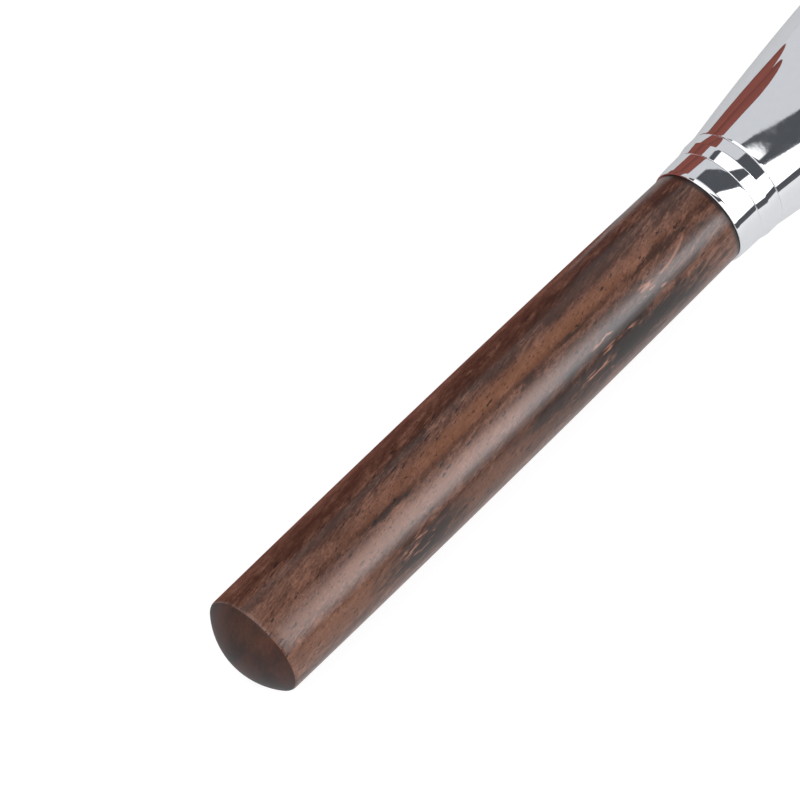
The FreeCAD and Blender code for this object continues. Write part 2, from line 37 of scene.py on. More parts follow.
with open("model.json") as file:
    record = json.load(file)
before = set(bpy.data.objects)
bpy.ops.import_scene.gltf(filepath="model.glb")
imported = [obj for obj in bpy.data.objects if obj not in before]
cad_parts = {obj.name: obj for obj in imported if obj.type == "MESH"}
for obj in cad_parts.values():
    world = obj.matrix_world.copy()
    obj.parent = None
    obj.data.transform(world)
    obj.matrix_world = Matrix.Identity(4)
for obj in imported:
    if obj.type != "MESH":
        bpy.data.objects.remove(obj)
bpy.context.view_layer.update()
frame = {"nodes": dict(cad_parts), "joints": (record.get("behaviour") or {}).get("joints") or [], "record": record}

MM = 0.001
DEGREES = 180 / math.pi

# --- the pen's frame ----------------------------------------------------------

pen_axis = Vector(frame["joints"][0]["axis"])
across = Vector((0, 1, 0))
socket = next(m for m in frame["record"]["mounts"] if m["name"] == "crow_quill_socket")
socket_middle = Vector(socket["pos_m"])
butt = socket_middle - pen_axis * ((socket_middle.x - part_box("handle")[0].x) / pen_axis.x)
PEN = Matrix((pen_axis, across, pen_axis.cross(across))).transposed().to_4x4()
PEN.translation = butt


# --- node materials -----------------------------------------------------------

class Graph:
    """The nodes of one material or world, made with one short call each."""

    def __init__(self, owner):
        owner.use_nodes = True
        self.tree = owner.node_tree
        self.tree.nodes.clear()

    def node(self, kind, inputs=None, **settings):
        node = self.tree.nodes.new("ShaderNode" + kind)
        for key, value in settings.items():
            setattr(node, key, value)
        for key, value in (inputs or {}).items():
            self.feed(node.inputs[key], value)
        return node

    def feed(self, socket, value):
        if isinstance(value, bpy.types.NodeSocket):
            self.tree.links.new(value, socket)
        else:
            socket.default_value = value

    def math(self, operation, *values):
        node = self.node("Math", operation=operation)
        for socket, value in zip(node.inputs, values):
            self.feed(socket, value)
        return node.outputs[0]

    def total(self, *terms):
        """The sum of value times weight over the pairs."""
        result = 0.0
        for value, weight in terms:
            result = self.math("MULTIPLY_ADD", value, weight, result)
        return result

    def step(self, value, low, high):
        """0 below low, 1 above high, smooth between; the other way round if low > high."""
        inputs = {0: value, 1: min(low, high), 2: max(low, high)}
        inputs.update({3: 0.0, 4: 1.0} if low < high else {3: 1.0, 4: 0.0})
        return self.node("MapRange", inputs, interpolation_type="SMOOTHSTEP").outputs[0]

    def mix(self, factor, low, high, blend="MIX"):
        node = self.node("Mix", data_type="RGBA", blend_type=blend)
        self.feed(node.inputs["Factor"], factor)
        for socket, value in ((node.inputs[6], low), (node.inputs[7], high)):
            if isinstance(value, tuple) and len(value) == 3:
                value = (*value, 1)
            self.feed(socket, value)
        return node.outputs[2]

    def ramp(self, value, *stops):
        """The value as a colour, from stops of a place and a colour."""
        node = self.node("ValToRGB", {0: value})
        ramp = node.color_ramp
        while len(ramp.elements) < len(stops):
            ramp.elements.new(1)
        for element, (place, color) in zip(ramp.elements, stops):
            element.position = place
            element.color = (*color, 1)
        return node.outputs[0]

    def noise(self, vector, scale, detail, roughness=0.5, distortion=0.0):
        inputs = {"Vector": vector, "Scale": scale, "Detail": detail,
                  "Roughness": roughness, "Distortion": distortion}
        return self.node("TexNoise", inputs).outputs[0]

    def cells(self, vector, scale):
        return self.node("TexVoronoi", {"Vector": vector, "Scale": scale}).outputs["Distance"]

    def scaled(self, vector, factors, offset=0.0):
        """The vector times the factors, with the offset added to each part."""
        inputs = {0: vector, 1: factors, 2: (offset, offset, offset)}
        return self.node("VectorMath", inputs, operation="MULTIPLY_ADD").outputs[0]

    def wobble(self, vector, scale, amount):
        """The vector, moved by a noise that stays below the amount."""
        inputs = {"Vector": vector, "Scale": scale, "Detail": 1.0}
        noise = self.node("TexNoise", inputs).outputs["Color"]
        inputs = {0: noise, 1: (amount, amount, amount), 2: vector}
        return self.node("VectorMath", inputs, operation="MULTIPLY_ADD").outputs[0]

    def stretched(self, vector, along, offset=0.0):
        """The vector with its X divided by along, and the offset added."""
        return self.scaled(vector, (1 / along, 1, 1), offset)

    def reach(self, x, y, place, size):
        """How far (x, y) is from a place, as a share of the ellipse with those half axes."""
        shares = [self.math("DIVIDE", self.math("SUBTRACT", value, float(middle)), float(half))
                  for value, middle, half in zip((x, y), place, size)]
        pair = self.node("CombineXYZ", {0: shares[0], 1: shares[1]}).outputs[0]
        return self.node("VectorMath", {0: pair}, operation="LENGTH").outputs["Value"]

    def bump(self, height, distance, strength):
        """The normal for a height, whose full depth is the distance in millimetres."""
        inputs = {"Height": height, "Distance": distance * MM, "Strength": strength}
        return self.node("Bump", inputs).outputs[0]

    def finish(self, **inputs):
        """The material's shader, its inputs named with underscores for spaces."""
        shader = self.node("BsdfPrincipled")
        for key, value in inputs.items():
            key = key.replace("_", " ")
            if isinstance(value, tuple):
                value = (*value, 1)
            self.feed(shader.inputs[key], value)
        self.node("OutputMaterial", {"Surface": shader.outputs[0]})


def material(name):
    made = bpy.data.materials.new(name)
    return made, Graph(made)


def pen_point(graph):
    """The shaded point in the pen's frame, in millimetres."""
    inputs = {"Vector": graph.node("TexCoord").outputs["Object"], "Location": butt,
              "Rotation": PEN.to_euler(), "Scale": (MM, MM, MM)}
    return graph.node("Mapping", inputs, vector_type="TEXTURE").outputs[0]


# The rosewood's figure and some painted shade, each row over those before it: station along
# the pen and angle round it in degrees (0 = top, -90 = the side nearest to the camera), half
# length, half width in degrees, colour, strength. The DEEP rows that run most of the handle
# at 7, 38 and -74 degrees darken its upper and lower sides: partly figure, partly painted shade.
BLACK = (0.014, 0.009, 0.008)
DEEP = (0.045, 0.014, 0.007)
AMBER = (0.25, 0.102, 0.052)
FIGURE_AND_SHADE = [
    (43.0, 17, 25.0, 14, DEEP, 0.62),
    (12.0, 26, 12.0, 7, DEEP, 0.55),
    (23.0, 14, 4.0, 6, BLACK, 0.55),
    (51.0, 22, 10.0, 7, BLACK, 0.50),
    (58.5, 10, 3.5, 9, DEEP, 0.70),
    (37.0, -18, 25.0, 4.0, DEEP, 0.45),
    (17.7, -19.5, 2.4, 3.2, BLACK, 0.75),
    (36.0, -20, 1.6, 2.4, BLACK, 0.55),
    (41.5, -20, 1.4, 2.4, BLACK, 0.50),
    (55.0, -17, 4.5, 6.0, BLACK, 0.50),
    # partly painted shade: darker along the whole lower side
    (32.0, -74, 34.0, 24, DEEP, 0.50),
    (34.0, -49, 34.0, 8, DEEP, 0.38),
    (49.0, -36, 16.0, 13, BLACK, 0.35),
    (42.5, -18, 2.2, 1.8, BLACK, 0.80),
    (30.0, 14, 5.0, 9, BLACK, 0.35),
    (37.5, 6, 4.0, 6, BLACK, 0.30),
    (36.0, -8, 18.0, 9, AMBER, 0.55),
    (20.0, -36, 18.0, 8, AMBER, 0.55),
    (9.5, -67, 8.0, 14, AMBER, 0.55),
    (27.0, -72, 7.0, 12, AMBER, 0.30),
    (18.7, -73, 5.2, 15, BLACK, 0.90),
    (39.5, -64, 6.5, 10, BLACK, 0.70),
    (49.0, -72, 9.0, 17, BLACK, 0.95),
    (50.0, -50, 10.0, 6, BLACK, 0.60),
    (26.0, 74, 12.0, 9, BLACK, 0.60),
    (12.0, 118, 7.0, 16, AMBER, 0.45),
    (44.0, 128, 11.0, 15, BLACK, 0.75),
    (30.0, 172, 20.0, 12, DEEP, 0.70),
    (9.0, 10, 13.0, 9, DEEP, 0.50),
    # these two rows are partly painted shade: darker along the upper side
    (38.0, 7, 26.0, 7, DEEP, 0.40),
    (34.0, 38, 33.0, 8, DEEP, 0.45),
    (52.0, -46, 12.0, 7, BLACK, 0.40),
    (59.0, 32, 5.0, 10, DEEP, 0.55),
    (14.0, -138, 8.0, 12, BLACK, 0.70),
    (46.0, -120, 9.0, 10, AMBER, 0.45),
]
# where the grain is torn and shows pale flecks: the same, without colour and strength
TORN = [
    (18.3, -66, 1.9, 10), (44.9, -46, 2.3, 3.0), (44.9, -57, 2.7, 3.0), (42.0, -68, 2.3, 3.5),
    (43.9, -80, 1.2, 2.5), (50.0, -39, 1.5, 6), (51.5, -51, 1.4, 4),
]
WOOD_DARK = (0.060, 0.021, 0.011)
WOOD_MIDDLE = (0.150, 0.064, 0.040)
WOOD_LIGHT = (0.266, 0.122, 0.077)
FLECK = (0.44, 0.20, 0.13)
# how fast the grain turns round the handle, in radians per millimetre
GRAIN_TURN = 0.038
# the long pale fibre: where it starts, its length, the angle round the pen where it
# starts and how far it has turned at its end
FIBRE_START, FIBRE_LENGTH, FIBRE_TURN, FIBRE_BEND = 52.3, 4.5, -37.0, 13.0
# the painted shade where the wood meets the collar: its station and half the width over which it starts
SEAM_SHADE_STATION, SEAM_SHADE_HALF = 61.2, 0.25
# end grain: its darkest and lightest tone, and a warmer patch near the arris (place
# across the pen, half sizes)
END_DARK, END_LIGHT = (0.010, 0.004, 0.003), (0.068, 0.021, 0.012)
PATCH_PLACE, PATCH_SIZE = (-0.9, 3.9), (2.6, 1.5)
CHROME_LOW, CHROME_HIGH = (0.84, 0.85, 0.87), (0.90, 0.91, 0.92)


def rosewood():
    """Dark and figured along its grain, under a thin polish."""
    made, g = material("rosewood")
    point = pen_point(g)
    x, y, z = g.node("SeparateXYZ", {0: point}).outputs[:3]
    angle = g.math("MULTIPLY", g.math("ARCTAN2", y, z), DEGREES)

    # the grain turns slowly round the handle, so its marks lean a little
    inputs = {"Vector": point, "Angle": g.math("MULTIPLY", x, GRAIN_TURN)}
    leaning = g.node("VectorRotate", inputs, rotation_type="X_AXIS").outputs[0]
    broad = g.noise(g.stretched(point, 5), scale=0.6, detail=3, roughness=0.55, distortion=0.5)
    clouds = g.noise(g.stretched(leaning, 3.6, offset=40), scale=1.7, detail=4, roughness=0.7,
                     distortion=0.6)
    fibres = g.noise(g.stretched(leaning, 9, offset=90), scale=6.0, detail=3, roughness=0.65)
    grit = g.noise(g.stretched(leaning, 2.2, offset=15), scale=6.5, detail=2, roughness=0.7)
    tone = g.total((broad, 0.28), (clouds, 0.34), (fibres, 0.18), (grit, 0.20))
    color = g.ramp(tone, (0.40, WOOD_DARK), (0.50, WOOD_MIDDLE), (0.60, WOOD_LIGHT))

    # figure and painted shade, with ragged edges that follow the grain
    ragged = g.total((clouds, 1.9), (broad, 1.6), (fibres, 0.9), (1.0, -2.2))
    for station, turn, long, wide, tint, strength in FIGURE_AND_SHADE:
        reach = g.reach(x, angle, (station, turn), (long, wide))
        there = g.step(g.math("ADD", reach, ragged), 1.35, 0.45)
        color = g.mix(g.math("MULTIPLY", there, strength), color, tint)

    # short dark pores in patches, and fine ones everywhere
    uneven = g.wobble(leaning, scale=3.0, amount=0.35)
    large = g.cells(g.stretched(uneven, 4), scale=2.1)
    spread = g.noise(g.stretched(point, 2.5, offset=17), scale=0.42, detail=1)
    pores = g.math("MULTIPLY", g.step(large, 0.27, 0.15), g.step(spread, 0.40, 0.54))
    fine = g.cells(g.stretched(uneven, 5, offset=5), scale=4.6)
    fine_pores = g.step(fine, 0.30, 0.13)
    color = g.mix(g.math("MULTIPLY", pores, 0.85), color, BLACK)
    color = g.mix(g.math("MULTIPLY", fine_pores, 0.70), color, DEEP)

    # pale flecks and one long pale fibre, where the grain is torn
    streaks = g.noise(g.stretched(point, 6, offset=61), scale=4.0, detail=1)
    flecks = 0.0
    for station, turn, long, wide in TORN:
        inside = g.step(g.reach(x, angle, (station, turn), (long, wide)), 1.25, 0.75)
        flecks = g.math("MAXIMUM", flecks, inside)
    flecks = g.math("MULTIPLY", flecks, g.step(streaks, 0.54, 0.62))
    share = g.math("MULTIPLY_ADD", x, 1 / FIBRE_LENGTH, -FIBRE_START / FIBRE_LENGTH)
    bent = g.math("MULTIPLY_ADD", g.math("MULTIPLY", share, share), FIBRE_BEND, FIBRE_TURN)
    aside = g.math("ABSOLUTE", g.math("SUBTRACT", angle, bent))
    from_middle = g.math("ABSOLUTE", g.math("SUBTRACT", share, 0.5))
    fibre = g.math("MULTIPLY", g.step(aside, 1.9, 0.7), g.step(from_middle, 0.55, 0.40))
    color = g.mix(g.math("MULTIPLY", flecks, 0.80), color, FLECK)
    color = g.mix(g.math("MULTIPLY", fibre, 0.55), color, FLECK)

    # faint ripple across the grain, in places, and painted shade where the wood meets the collar
    ripple = g.noise(g.scaled(point, (1.0, 0.2, 0.2)), scale=3.0, detail=2, roughness=0.6)
    shade = g.ramp(ripple, (0.3, (0.82, 0.82, 0.82)), (0.7, (1.16, 1.16, 1.16)))
    color = g.mix(g.math("MULTIPLY_ADD", broad, 0.7, 0.2), color, shade, "MULTIPLY")
    # painted shade: the wood turns near black where it meets the chrome collar
    seam_shade = g.step(g.math("MULTIPLY_ADD", clouds, 0.3, x),
                  SEAM_SHADE_STATION - SEAM_SHADE_HALF, SEAM_SHADE_STATION + SEAM_SHADE_HALF)
    color = g.mix(g.math("MULTIPLY", seam_shade, 0.92), color, BLACK)

    sunk = g.total((fibres, 0.30), (grit, 0.18), (pores, -1.0), (fine_pores, -0.4))
    g.finish(Base_Color=color, Roughness=g.math("MULTIPLY_ADD", fibres, 0.25, 0.36),
             Specular_IOR_Level=0.15, Coat_Weight=0.6, Coat_Roughness=0.19, Coat_IOR=1.6,
             Normal=g.bump(sunk, distance=0.025, strength=0.6))
    return made


def end_grain():
    """The dome: the same wood across its grain, darker and hardly polished."""
    made, g = material("rosewood_end_grain")
    point = pen_point(g)
    across_grain = g.scaled(point, (0.3, 1, 0.45))
    broad = g.noise(across_grain, scale=0.45, detail=2)
    close = g.noise(across_grain, scale=4.5, detail=3, roughness=0.7)
    dots = g.step(g.cells(point, scale=3.4), 0.24, 0.12)
    tone = g.total((broad, 0.6), (close, 0.4))
    color = g.ramp(tone, (0.40, END_DARK), (0.62, END_LIGHT))
    y, z = g.node("SeparateXYZ", {0: point}).outputs[1:3]
    patch = g.reach(y, z, PATCH_PLACE, PATCH_SIZE)
    warm = g.step(g.total((patch, 1.0), (close, 3.5), (1.0, -1.3)), 1.7, 0.5)
    color = g.mix(g.math("MULTIPLY", warm, 0.22), color, AMBER)
    color = g.mix(g.math("MULTIPLY", dots, 0.5), color, BLACK)
    g.finish(Base_Color=color, Roughness=g.math("MULTIPLY_ADD", close, 0.2, 0.36),
             Specular_IOR_Level=0.40,
             Normal=g.bump(g.total((close, 0.5), (dots, -0.5)), distance=0.02, strength=0.5))
    return made


def chrome():
    """A mirror with a little haze and dust."""
    made, g = material("chrome")
    point = pen_point(g)
    haze = g.noise(point, scale=1.1, detail=4, roughness=0.6)
    dust = g.noise(point, scale=9, detail=2, roughness=0.5)
    rough = g.total((g.step(haze, 0.45, 0.75), 0.03), (g.step(dust, 0.72, 0.8), 0.12), (1.0, 0.03))
    color = g.mix(haze, CHROME_LOW, CHROME_HIGH)
    uneven = g.noise(point, scale=2.0, detail=2)
    g.finish(Base_Color=color, Metallic=1.0, Roughness=rough,
             Normal=g.bump(uneven, distance=0.002, strength=0.3))
    return made


def plain_metal(name, low, high, rough, grain=(1, 1, 1), depth=0.01):
    """A metal with a fine grain, stretched as the three factors say."""
    made, g = material(name)
    point = pen_point(g)
    fine = g.noise(g.scaled(point, grain), scale=6, detail=4, roughness=0.6)
    cloud = g.noise(point, scale=0.6, detail=3, roughness=0.5)
    color = g.mix(g.total((fine, 0.5), (cloud, 0.5)), low, high)
    g.finish(Base_Color=color, Metallic=1.0,
             Roughness=g.math("MULTIPLY_ADD", fine, 0.14, rough - 0.07),
             Normal=g.bump(fine, distance=depth, strength=0.5))
    return made


# --- turned pieces ------------------------------------------------------------

TURN_STEPS = 224
EDGE_STEPS = 6
ON_AXIS = 1e-9
# an edge that turns by more than this many degrees stays sharp
SHARP = 35
# the faces up to this station are the dome's
DOME_END = 2.08


def arc(start, via, end, count):
    """Points of the arc from start through via to end, both ends included."""
    (ax, ay), (bx, by), (cx, cy) = start, via, end
    double = 2 * (ax * (by - cy) + bx * (cy - ay) + cx * (ay - by))
    a2, b2, c2 = ax * ax + ay * ay, bx * bx + by * by, cx * cx + cy * cy
    x = (a2 * (by - cy) + b2 * (cy - ay) + c2 * (ay - by)) / double
    y = (a2 * (cx - bx) + b2 * (ax - cx) + c2 * (bx - ax)) / double
    radius = math.hypot(ax - x, ay - y)
    first, last = math.atan2(ay - y, ax - x), math.atan2(cy - y, cx - x)
    turn = (last - first + math.pi) % (2 * math.pi) - math.pi
    return [(x + radius * math.cos(first + turn * i / count),
             y + radius * math.sin(first + turn * i / count)) for i in range(count + 1)]


def rounded(outline):
    """The outline with each corner that has a third number rounded to that radius."""
    points = []
    for index, corner in enumerate(outline):
        here = Vector(corner[:2])
        if len(corner) == 2:
            points.append(here)
            continue
        before = Vector(outline[index - 1][:2]) - here
        after = Vector(outline[(index + 1) % len(outline)][:2]) - here
        half = before.angle(after) / 2
        trim = corner[2] / math.tan(half)
        start, end = here + before.normalized() * trim, here + after.normalized() * trim
        centre = here + (before.normalized() + after.normalized()).normalized() \
            * (corner[2] / math.sin(half))
        middle = centre + (here - centre).normalized() * corner[2]
        points += [Vector(p) for p in arc(start, middle, end, EDGE_STEPS)]
    return points


def turned(name, outline, finish, nodes, end_finish=None):
    """A piece turned round the pen's axis from its half section, in millimetres. It
    stands for the CAD nodes and rides on the holder. The butt's faces, up to DOME_END,
    take end_finish if there is one."""
    mesh = bpy.data.meshes.new(name)
    bm = bmesh.new()
    rings = []
    turns = [2 * math.pi * i / TURN_STEPS for i in range(TURN_STEPS)]
    for x, radius in rounded(outline):
        if radius < ON_AXIS:
            rings.append([bm.verts.new((x * MM, 0, 0))])
            continue
        rings.append([bm.verts.new((x * MM, radius * math.sin(t) * MM, radius * math.cos(t) * MM))
                      for t in turns])
    for ring, following in zip(rings, rings[1:] + rings[:1]):
        if len(ring) == len(following) == 1:
            continue
        at_the_end = end_finish and max(ring[0].co.x, following[0].co.x) < DOME_END * MM
        for i in range(TURN_STEPS):
            j = (i + 1) % TURN_STEPS
            corners = [ring[i % len(ring)], ring[j % len(ring)],
                       following[j % len(following)], following[i % len(following)]]
            face = bm.faces.new(list(dict.fromkeys(corners)))
            face.material_index = 1 if at_the_end else 0
    bmesh.ops.recalc_face_normals(bm, faces=bm.faces)
    bm.to_mesh(mesh)
    bm.free()
    mesh.transform(PEN)
    mesh.shade_smooth()
    mesh.set_sharp_from_angle(angle=math.radians(SHARP))
    mesh.materials.append(finish)
    if end_finish:
        mesh.materials.append(end_finish)
    piece = bpy.data.objects.new(name, mesh)
    bpy.context.scene.collection.objects.link(piece)
    weigh = piece.modifiers.new("even_shading", "WEIGHTED_NORMAL")
    weigh.keep_sharp = True
    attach(piece, "holder")
    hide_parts(*nodes)


def clothe(node, finish):
    """Gives a CAD node its material."""
    mesh = frame["nodes"][node].data
    mesh.materials.clear()
    mesh.materials.append(finish)


CHROME = chrome()

# Stations along the pen and radii, in millimetres. They are within 0.05 of the CAD
# source's; edges are rounder than there, as the photograph shows them.
WOOD_END, WOOD_END_RADIUS, SHOULDER_ROUND = 61.4, 4.95, 0.12
DOME_RISE, BUTT_RADIUS, ARRIS_ROUND = 2.1, 5.10, 0.6
BARREL_STATION, BARREL_RADIUS = 29.0, 5.18
BUSH_RADIUS, DRILLED_TO, DRILL_TIP = 3.0, 42.4, 40.9
COLLAR_REAR_RADIUS, COLLAR_FRONT_RADIUS = 5.15, 5.25
# the collar's steep rear edge: how far its start is sunk, then where it ends and where
# the band's arc begins, as length and rise; the arc's middle; and where it ends
EDGE_SUNK, EDGE_END, BAND_START = 0.05, (0.4, 0.025), (0.45, 0.029)
BAND_MIDDLE, BAND_STOP = (62.9, 5.222), 0.15
STEP_START, STEP_FOOT_RADIUS = 64.25, 5.21
LAND_START, LAND_RADIUS, LAND_ROUND = 65.5, 5.46, 0.5
FLARE_START, FLARE_END = 66.85, 88.35
FLARE_MIDDLE, FLARE_RADIUS, MOUTH_RADIUS = (77.576, 6.915), 7.967, 6.937
FLARE_INSIDE, NUT_ROOM_END, NUT_ROOM_RADIUS, MOUTH_START = 69.05, 75.85, 4.5, 83.31
GIRDLE_END, GIRDLE_RADIUS, GIRDLE_RIM = 89.95, 8.127, 7.96
THREAD_START, GRIP_REAR_RADIUS, SPIGOT_RADIUS, GRIP_BORE = 83.35, 7.797, 6.897, 5.997
GRIP_KNEE, GRIP_KNEE_RADIUS, GRIP_END, GRIP_END_RADIUS = 103.95, 6.2, 122.95, 5.5
HOLLOW_MIDDLE, FRONT_EASE = (113.314, 5.493), 0.25
STOP_BORE, STOP_THICKNESS, BACK_BORE, BORE_STEP = 2.6, 1.2, 4.6, 6
FERRULE_START, FERRULE_END = 114.95, 130.45
FERRULE_OUTER, FERRULE_BORE = 4.5, 4.15
BEAD_LEAD, BEAD_LENGTH, BEAD_FOOT, BEAD_RADIUS = 0.95, 0.9, 4.51, 4.62
SPIGOT, SPIGOT_LENGTH, RECESS, RECESS_DEPTH = 3.7, 0.9, 3.73, 1.1
STUD_HOLE = 2.15
LIP = 0.09
# how many steps each arc has
DOME_STEPS, BARREL_STEPS, BAND_STEPS, FLARE_STEPS = 40, 60, 24, 80
GIRDLE_STEPS, HOLLOW_STEPS, BEAD_STEPS = 24, 60, 16
# the dome's last points, which make room for its rounded arris
DOME_TRIM = 3

dome_ball = (BUTT_RADIUS ** 2 + DOME_RISE ** 2) / (2 * DOME_RISE)
dome_half = math.asin(BUTT_RADIUS / dome_ball) / 2
dome = arc((0, 0), (dome_ball * (1 - math.cos(dome_half)), dome_ball * math.sin(dome_half)),
           (DOME_RISE, BUTT_RADIUS), DOME_STEPS)
barrel = arc((DOME_RISE, BUTT_RADIUS), (BARREL_STATION, BARREL_RADIUS),
             (WOOD_END, WOOD_END_RADIUS), BARREL_STEPS)
turned("handle_turning",
       [*dome[:-DOME_TRIM], (DOME_RISE, BUTT_RADIUS, ARRIS_ROUND), *barrel[1:-1],
        (WOOD_END, WOOD_END_RADIUS, SHOULDER_ROUND), (WOOD_END, RECESS),
        (WOOD_END - RECESS_DEPTH, RECESS), (WOOD_END - RECESS_DEPTH, BUSH_RADIUS),
        (DRILLED_TO, BUSH_RADIUS), (DRILL_TIP, 0)],
       rosewood(), ["handle"], end_grain())


def stacked(rear, front):
    """The hidden ends of a stacked ring: the recess in its front face and the spigot
    behind it."""
    return ([(front, RECESS), (front - RECESS_DEPTH, RECESS), (front - RECESS_DEPTH, STUD_HOLE)],
            [(rear - SPIGOT_LENGTH, STUD_HOLE), (rear - SPIGOT_LENGTH, SPIGOT), (rear, SPIGOT)])


recess, spigot = stacked(WOOD_END, STEP_START)
turned("rear_collar_turning",
       [*spigot, (WOOD_END, COLLAR_REAR_RADIUS - EDGE_SUNK, LIP),
        (WOOD_END + EDGE_END[0], COLLAR_REAR_RADIUS + EDGE_END[1]),
        *arc((WOOD_END + BAND_START[0], COLLAR_REAR_RADIUS + BAND_START[1]), BAND_MIDDLE,
             (STEP_START - BAND_STOP, COLLAR_FRONT_RADIUS), BAND_STEPS),
        (STEP_START, COLLAR_FRONT_RADIUS, LIP), *recess],
       CHROME, ["rear_collar"])

recess, spigot = stacked(STEP_START, FLARE_START)
turned("step_ring_turning",
       [*spigot, (STEP_START, STEP_FOOT_RADIUS, LIP), (LAND_START, LAND_RADIUS, LAND_ROUND),
        (FLARE_START, LAND_RADIUS, LIP), *recess],
       CHROME, ["step_ring"])

flare_arc = arc((FLARE_START, LAND_RADIUS), FLARE_MIDDLE, (FLARE_END, FLARE_RADIUS),
                FLARE_STEPS)
turned("flare_turning",
       [*stacked(FLARE_START, 0)[1],
        (*flare_arc[0], LIP), *flare_arc[1:-1], (*flare_arc[-1], LIP),
        (FLARE_END, MOUTH_RADIUS), (MOUTH_START, MOUTH_RADIUS), (MOUTH_START, GRIP_BORE),
        (NUT_ROOM_END, GRIP_BORE), (NUT_ROOM_END, NUT_ROOM_RADIUS),
        (FLARE_INSIDE, NUT_ROOM_RADIUS), (FLARE_INSIDE, STUD_HOLE)],
       CHROME, ["flare"])

turned("girdle_turning",
       [(FLARE_END, MOUTH_RADIUS),
        *arc((FLARE_END, GIRDLE_RIM), ((FLARE_END + GIRDLE_END) / 2, GIRDLE_RADIUS),
             (GIRDLE_END, GIRDLE_RIM), GIRDLE_STEPS),
        (GIRDLE_END, MOUTH_RADIUS)],
       CHROME, ["girdle"])

hollow = arc((GRIP_KNEE, GRIP_KNEE_RADIUS), HOLLOW_MIDDLE,
             (GRIP_END - FRONT_EASE, GRIP_END_RADIUS), HOLLOW_STEPS)
turned("grip_turning",
       [(THREAD_START, GRIP_BORE), (THREAD_START, SPIGOT_RADIUS), (GIRDLE_END, SPIGOT_RADIUS),
        (GIRDLE_END, GRIP_REAR_RADIUS, LIP), *hollow, (GRIP_END, GRIP_END_RADIUS - FRONT_EASE),
        (GRIP_END, FERRULE_OUTER), (FERRULE_START, FERRULE_OUTER), (FERRULE_START, STOP_BORE),
        (FERRULE_START - STOP_THICKNESS, STOP_BORE), (FERRULE_START - STOP_THICKNESS, BACK_BORE),
        (GIRDLE_END + BORE_STEP, BACK_BORE), (GIRDLE_END + BORE_STEP, GRIP_BORE)],
       CHROME, ["grip"])

turned("ferrule_turning",
       [(FERRULE_START, FERRULE_BORE), (FERRULE_START, FERRULE_OUTER),
        (FERRULE_END - BEAD_LEAD, FERRULE_OUTER),
        *arc((FERRULE_END - BEAD_LENGTH, BEAD_FOOT), (FERRULE_END - BEAD_LENGTH / 2, BEAD_RADIUS),
             (FERRULE_END, FERRULE_OUTER), BEAD_STEPS),
        (FERRULE_END, FERRULE_BORE)],
       CHROME, ["ferrule"])

clothe("handle_bush", plain_metal("brass", low=(0.70, 0.50, 0.22), high=(0.84, 0.64, 0.32),
                                  rough=0.25))
ZINC = plain_metal("steel", low=(0.46, 0.47, 0.49), high=(0.62, 0.63, 0.65), rough=0.3)
for node in ("tie_stud", "washer", "clamp_nut"):
    clothe(node, ZINC)
clothe("leaf_spring", plain_metal("spring_steel", low=(0.52, 0.52, 0.54),
                                  high=(0.68, 0.68, 0.70), rough=0.26, grain=(0.1, 1, 1)))
clothe("nib", plain_metal("nib_steel", low=(0.52, 0.52, 0.54), high=(0.66, 0.66, 0.67),
                          rough=0.2, grain=(0.12, 1, 1), depth=0.004))


# --- studio -------------------------------------------------------------------

# A direction in the studio is told by its lean, in degrees from straight up towards +Y,
# and by how far it heads along X, which is nearly along the pen. SOFTBOX_CORE is the
# part of the softbox that makes the highlight on the wood.
SOFTBOX = (1.9, 1.9, 1.92)
SOFTBOX_CORE = (6.7, 6.7, 6.9)
HATCH = (1.4, 1.4, 1.42)
END_WALL = (0.22, 0.22, 0.23)
END_WALL_TOP = (1.45, 1.45, 1.48)
PALE = (0.66, 0.67, 0.70)
DARK = (0.085, 0.09, 0.10)
WHITE = (1, 1, 1)
# how far a direction heads along the pen, then the lean where the dark ceiling starts
# and ends for it
CEILING = [
    (0.00, -30, 48), (0.12, -32, 48), (0.145, -36, 36), (0.168, -43, 13), (0.175, -45, 1),
    (0.196, -51, -11), (0.24, -52, -11), (0.30, -13, 38), (0.34, -15, 38), (0.384, -30, 37),
    (0.392, -33, 24), (0.405, -38, 8), (0.43, -49, 4), (1.00, -51, 4),
]
HALF_TURN = 180.0
CEILING_BLUR = 1.5
# Where each other part of the studio begins to show and where it shows fully: the
# core's two ends along the pen, its upper and lower edge in lean, the hatch's end along
# the pen, its slanting near edge and its far edge, where the wall behind the butt
# starts along the pen and how high up it gets bright, where the dark end ahead of the
# nib starts, and the lean of the dark line at the horizon.
CORE_REAR, CORE_FRONT = (0.30, 0.34), (0.52, 0.46)
CORE_TOP, CORE_FOOT = (-23, -46), (-76, -66)
HATCH_END, HATCH_SLANT, HATCH_NEAR, HATCH_FAR = (0.156, 0.146), 120.0, (-9, -5), (38, 34)
END_WALL_START, END_WALL_BRIGHT = (-0.10, -0.20), (0.25, 0.65)
DARK_END = (0.60, 0.70)
HORIZON = (-82, -83.5)


def edge_curve(g, along, column):
    """One edge of the ceiling, in degrees, as it varies along the pen."""
    curve = g.node("FloatCurve", {"Value": along})
    points = curve.mapping.curves[0].points
    while len(points) < len(CEILING):
        points.new(0.5, 0.5)
    for point, row in zip(points, CEILING):
        point.location = (row[0], row[column] / HALF_TURN + 0.5)
        point.handle_type = "VECTOR"
    curve.mapping.update()
    return g.math("MULTIPLY", g.math("SUBTRACT", curve.outputs[0], 0.5), HALF_TURN)


